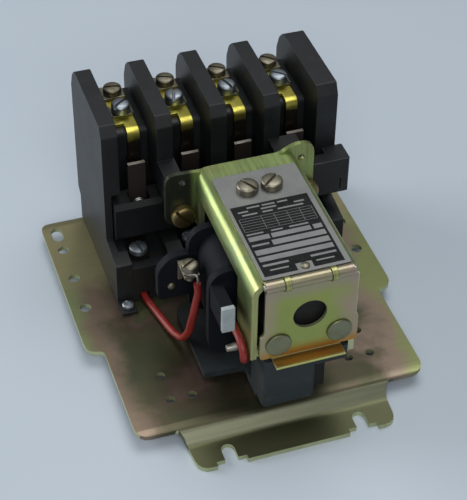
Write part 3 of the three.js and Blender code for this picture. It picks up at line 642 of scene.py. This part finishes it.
for i, x in enumerate(pole_x):
    n = i + 1
    recast(f"line_contact_{n}", brass, 0.16)
    recast(f"load_contact_{n}", brass, 0.16)
    recast(f"line_clamp_plate_{n}", nickel, 0.22)
    screw(
        f"line_screw_{n}", (x, LINE_SCREW["y"], LINE_SCREW["z"]),
        TERMINAL_HEAD, 4.2, TERMINAL_SHANK, 9, TERMINAL_SLOT, -55 + 37 * i, zinc,
    )
    screw(
        f"line_clamp_screw_{n}", (x, CLAMP_SCREW["y"], CLAMP_SCREW["z"]),
        TERMINAL_HEAD, 3, TERMINAL_SHANK, 9, TERMINAL_SLOT, 78 - 9 * i, nickel,
    )
    screw(
        f"load_screw_{n}", (x + LOAD_SCREW["aside"], LOAD_SCREW["y"], LOAD_SCREW["z"]),
        TERMINAL_HEAD, 3, TERMINAL_SHANK, 9, TERMINAL_SLOT, 12 + 50 * i, zinc,
    )
    saddle = channel(9.4, 6.2, STRIP_TOP + 0.05, STRIP_TOP + 1.7, 0.9)
    ease(saddle, 0.2)
    bmesh.ops.translate(saddle, vec=(x, 45.4, 0), verts=saddle.verts)
    hole = moved(rod(2, 70, 80), Matrix.Translation((x, LINE_SCREW["y"], 0)))
    saddle = carved(as_mesh(saddle, "saddle"), hole)
    place(f"line_saddle_{n}", saddle, dark_nickel, "base", "zinc_steel")

# ---- Contact carrier, bridges and springs ----
# A slate-dark moulding that slides with the magnet, painted near black as shade towards its rear.
# Its crossbar holds four copper bridges, painted very dark brown as shade, silver on top, each
# pushed back by a small spring.
# Painted shade: from Y -54 mm back to -22 mm the slate turns near black, over the crossbar.
slate = moulded("slate_moulding", (0.017, 0.022, 0.024), (0.050, 0.062, 0.066), 0.45,
                shade=(-0.054, -0.022), shine=0.3)
# Painted shade: the copper is kept very dark brown, the colour of its faces in shadow.
copper = metal("copper_painted_dark", (0.055, 0.040, 0.036), (0.028, 0.022, 0.020), 0.5, 0.8)
steel = metal("spring_steel", (0.46, 0.46, 0.45), (0.28, 0.27, 0.25), 0.3)
recast("contact_carrier", slate, 0.45, 3)


def spring(name, centre, length, radius, wire, turns, body, node):
    """A round-wire coil spring along Y, as a mesh that can be squashed."""
    points = []
    for i in range(turns * 16 + 1):
        angle = i / 8 * math.pi
        along = i / (turns * 16) * length
        x = centre[0] + radius * math.cos(angle)
        z = centre[2] + radius * math.sin(angle)
        points.append((x, centre[1] + along, z))
    line = strand(name, points, wire, steel, body, "zinc_steel")
    seen = line.evaluated_get(bpy.context.evaluated_depsgraph_get())
    mesh = bpy.data.meshes.new_from_object(seen)
    bpy.data.objects.remove(line)
    mesh.transform(Matrix.Scale(1 / MM, 4))
    return place(name, mesh, steel, body, "zinc_steel", node)


for i, x in enumerate(pole_x):
    n = i + 1
    recast(f"movable_contact_{n}", copper, 0.18)
    cap = box((x - 3.6, x + 3.6), (23.05, 24.55), (64.9, 65.25))
    ease(cap, 0.08, 1)
    place(f"bridge_tip_{n}", as_mesh(cap, "tip"), silver, f"bridge_{n}", "copper")
    pushing = spring(
        f"contact_spring_{n}_fine", (x, 19.3, 46.2), 3.1, 2.5, 0.4, 3, "carrier",
        f"contact_spring_{n}",
    )
    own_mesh(pushing)
returning = spring("return_spring_fine", (1.3, 4.3, 26), 8.6, 3, 0.5, 3, "base", "return_spring")
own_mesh(returning)

# ---- Magnet and coil ----
# Two stacks of oiled silicon steel sheets, the fixed one with copper shading rings, and a coil
# in dark resin with a terminal on a boss at its left and a white insulating plate in front.
laminate, start = begin("laminations")
stack = {"Vector": start.node("TexCoord", out="Object"), "Scale": 320, "Distortion": 0.3}
sheets = start.node("TexWave", {"bands_direction": "X"}, stack)
color = blend(start, sheets, (0.004, 0.0035, 0.0035), (0.011, 0.010, 0.009))
coat(laminate, start, sheets, 0.0001, 0.5,
     Base_Color=color, Roughness=0.6 + noise(start, 300) * 0.2, Metallic=0.3)
recast("magnet_yoke", laminate, 0.15)
recast("armature", laminate, 0.15)
recast("shading_ring_top", copper, 0.12)
recast("shading_ring_bottom", copper, 0.12)

resin = moulded(
    "coil_resin", (0.003, 0.004, 0.006), (0.008, 0.011, 0.017), 0.5, 700, 0.7, shine=0.14
)
recast("coil", resin, 0.7, 3)
recast("coil_terminal", nickel, 0.15)
screw("coil_terminal_screw", (-26.2, -28.4, 52.4), 3.3, 3.4, 1.6, 5, 1, -62, nickel)

bare = [
    (-24.3, -31.4, 46.6), (-24.2, -32.1, 48.2), (-24.3, -32.6, 50), (-24.6, -32.3, 51.4),
    (-25.4, -31.4, 51.95), (-27.4, -30.9, 51.95), (-28.7, -29.4, 51.95), (-28.8, -27.6, 51.95),
]
strand("bare_wire_end", bare, 0.5, silver, "base", "zinc_steel")
rivet = turned([(0, 0), (1.6, 0), (1.6, 0.5), (1.3, 0.9), (0.7, 1.1), (0, 1.15)])
moved(rivet, Matrix.Rotation(math.radians(90), 4, "X"), Matrix.Translation((-31.5, -21, 38.8)))
place("boss_rivet", rivet, nickel, "base", "nickel_steel")

white, start = begin("white_nylon")
color = tones(start, noise(start, 150, 4), [(0.3, (0.25, 0.28, 0.29)), (0.7, (0.36, 0.40, 0.41))])
coat(white, start, noise(start, 900), 0.00005, 0.4,
     Base_Color=color, Roughness=0.4 + noise(start, 500) * 0.2)
recast("coil_guide", white, 0.35, 3)
pin = moved(
    turned([(0, 0), (1.1, 0), (1.3, 0.3), (1.55, 3), (1.55, 6.9), (0, 6.9)]),
    ALONG_X, Matrix.Translation((-22.4, -60.7, 39.9)),
)
place("guide_pin", pin, silver, "base", "zinc_steel")

# ---- Magnet frame ----
# Folded steel sheet with two ears, dipped in the same chromate but brighter and greener, its left
# ear painted dark olive as shade. Two big brass screws hold the ears to the block.
frame_colour_with_shade = chromate(
    "frame_chromate_painted_shade",
    [(0.28, (0.34, 0.28, 0.22)), (0.40, (0.33, 0.34, 0.14)), (0.50, (0.34, 0.43, 0.16)),
     (0.60, (0.30, 0.37, 0.18)), (0.70, (0.42, 0.44, 0.14)), (0.82, (0.42, 0.31, 0.26))],
    patch=24, roughness=0.24, drawn=(22, 1, 1),
    streak=0.72,
    # The first zone is painted shade: left of X -15 mm, over the left ear, the frame turns dark
    # olive.
    zones=[(0, -0.0150, -0.0180, 0.2, (0.075, 0.090, 0.062)),
           (1, -0.0655, -0.0672, 0.3, (0.40, 0.41, 0.17))],
)
recast("magnet_frame", frame_colour_with_shade, 0.3, rim=sheet_edge_highlight, sheet=FRAME_SHEET)
for x, side in ((-20.4, "left"), (30.5, "right")):
    screw(f"frame_screw_{side}", (x, -0.1, 55.2), 4.8, 4, 1.7, 9, 1.3, 40, dark_brass, True)

# ---- Nameplate ----
# Matt anodised aluminium under two nickel screws and one drive rivet. Its printed black panel
# keeps only ruled lines, empty boxes and plain bars.
aluminium = metal(
    "matt_aluminium", (0.245, 0.25, 0.24), (0.20, 0.205, 0.20), 0.44, 0.8, (1, 14, 1)
)
recast("nameplate", aluminium, 0.12)
PLATE_TOP = 75.5
PANEL = {"left": -9.7, "right": 20.7, "rear": -25.5, "front": -64.7}
print_black, start = begin("printed_black")
inks = [(0.3, (0.006, 0.007, 0.007)), (0.7, (0.015, 0.016, 0.016))]
color = tones(start, noise(start, 400, 4), inks)
coat(print_black, start, noise(start, 1500), 0.00002, 0.3,
     Base_Color=color, Roughness=0.6 + noise(start, 300) * 0.2, Specular_IOR_Level=0.15)
print_clear = metal("unprinted_aluminium", (0.23, 0.24, 0.235), (0.16, 0.17, 0.17), 0.44, 0.6)

panel = box((PANEL["left"], PANEL["right"]), (PANEL["front"], PANEL["rear"]),
            (PLATE_TOP - 0.01, PLATE_TOP + 0.03))
notch = box((2.9, 9.1), (-66, -61.2), (PLATE_TOP - 1, PLATE_TOP + 1))
panel = carved(as_mesh(panel, "panel"), as_mesh(notch, "notch"))
place("printed_panel", panel, print_black, "base", "aluminium_plate")


def printed(x, y):
    """A clear patch in the print, given in millimetres from the panel's left and rear edges."""
    left, rear = PANEL["left"], PANEL["rear"]
    return box((left + x[0], left + x[1]), (rear - y[1], rear - y[0]),
               (PLATE_TOP + 0.02, PLATE_TOP + 0.05))


clear = []
for y, bars in ((1.3, [(6, 11), (12, 17), (18, 22)]), (3.1, [(2, 6), (11, 17), (24, 28)]),
                (5.0, [(3, 9), (11, 15), (17, 27)]), (15.8, [(1, 7.5), (10.5, 15), (17.5, 25)])):
    clear += [printed(bar, (y, y + 0.8)) for bar in bars]
for row in range(6):
    clear.append(printed((1, 29.4), (7.2 + 1.45 * row, 7.35 + 1.45 * row)))
for x in (1, 9.5, 14.5, 19.5, 24.5, 29.25):
    clear.append(printed((x, x + 0.15), (7.2, 14.6)))
for x, y in (((1, 9), (17.6, 20)), ((9.8, 25), (17.6, 20)), ((26, 29.4), (17.6, 20)),
             ((8.8, 29.4), (21.2, 23.9)), ((1, 29.4), (25, 27.8)), ((1, 29.4), (28.9, 31.4))):
    clear.append(printed(x, y))
clear += [printed((1, 7.6), (21.9, 22.9)), printed((1.2, 11), (33, 34.1)),
          printed((19.4, 29.2), (33, 34.1)), printed((3, 10), (36, 36.7)),
          printed((20.5, 27.5), (36, 36.7))]
place("printed_lines", joined(clear, "lines"), print_clear, "base", "aluminium_plate")
for x, side, angle in ((0, "left", 32), (9.7, "right", -52)):
    screw(f"nameplate_screw_{side}", (x, -17.4, 75.6), 4.2, 3.2, 1.6, 6, 1.2, angle, nickel)
drive = turned([(0, 0), (1.7, 0), (1.65, 0.5), (1.2, 0.85), (0, 1)])
moved(drive, Matrix.Translation((6, -63.3, PLATE_TOP)))
place("drive_rivet", drive, nickel, "base", "nickel_steel")

# ---- Gate ----
# A plated sheet rolled round its hinge pin at the top, with a finger hole and two big flat
# rivets that hold the bent lip behind it.
gate_finish, start = begin("gate_chromate")
off_centre = position(start, 0) - 0.0055
height = position(start, 2)
drift = noise(start, 55, 4, 0.6, 0.7) - 0.5
from_middle = off_centre.math("ABSOLUTE", off_centre) / 0.0185
edge = between(start, from_middle + drift * 0.7, 0.5, 1.0)
foot = between(start, (0.0455 - height) / 0.0065 + drift * 0.8, 0.0, 1.0)
head = between(start, (height - 0.0655) / 0.006 + drift * 0.8, 0.0, 1.0)
color = tones(start, noise(start, 40, 3), [(0.3, (0.27, 0.33, 0.09)), (0.7, (0.34, 0.37, 0.11))])
color = blend(start, edge, color, (0.40, 0.31, 0.22))
color = blend(start, head * 0.7, color, (0.36, 0.29, 0.24))
color = blend(start, foot, color, (0.44, 0.22, 0.045))
fine = noise(start, 1200, 2)
coat(gate_finish, start, fine, 0.00004, 0.3, Base_Color=color, Metallic=0.8,
     Roughness=0.24 + fine * 0.12 + noise(start, 90) * 0.1)
FINGER_HOLE = {"x": 6.4, "z": 57.3, "radius": 6.52}
middle = Matrix.Translation((FINGER_HOLE["x"], 0, FINGER_HOLE["z"]))
gate_hole = moved(rod(FINGER_HOLE["radius"], -75, -60, 64), ALONG_Y, middle)
recast("gate", gate_finish, 0.22, 2, [gate_hole], sheet_edge_highlight, GATE_SHEET)

lip_colour_with_highlight = chromate(
    "lip_chromate_painted_highlight",
    [(0.30, (0.50, 0.36, 0.08)), (0.5, (0.46, 0.24, 0.06)), (0.75, (0.52, 0.46, 0.10))],
    # The zone is a painted highlight: the lip's front edge, forward of Y -72.5 mm, turns bright
    # yellow.
    patch=60, roughness=0.25, zones=[(1, -0.0725, -0.0742, 0.5, (0.62, 0.64, 0.16))],
)
recast("gate_latch", lip_colour_with_highlight, 0.25, rim=sheet_edge_highlight)
recast("hinge_pin", steel, 0.2)
dull = metal("dull_rivet", (0.22, 0.225, 0.14), (0.15, 0.16, 0.10), 0.36, 0.85, (3, 1, 3), 0.7)
for x, z, side in ((-5.4, 45.4, "left"), (18.3, 45.9, "right")):
    flat = turned([
        (0, -2.2), (2, -2.2), (2, 0), (4.8, 0), (5, 0.15), (5, 0.5), (4.85, 0.72), (4.6, 0.8),
        (4.3, 0.74), (0, 0.66),
    ], 64)
    moved(flat, Matrix.Rotation(math.radians(90), 4, "X"), Matrix.Translation((x, -69.7, z)))
    node = f"gate_rivet_{side}"
    place(f"{node}_fine", flat, dull, "gate", "zinc_steel", node)

# ---- Auxiliary block ----
# A small separate moulding of the same black phenolic, screwed in front of the right wall.
moulding_rim_highlight = moulded("moulding_rim_highlight", (0.02, 0.023, 0.024), (0.16, 0.17, 0.175), 0.4)
# Its rounded edges take a pale grey rim: a painted highlight.
recast("auxiliary_block", phenolic, 0.3, 2, rim=moulding_rim_highlight)
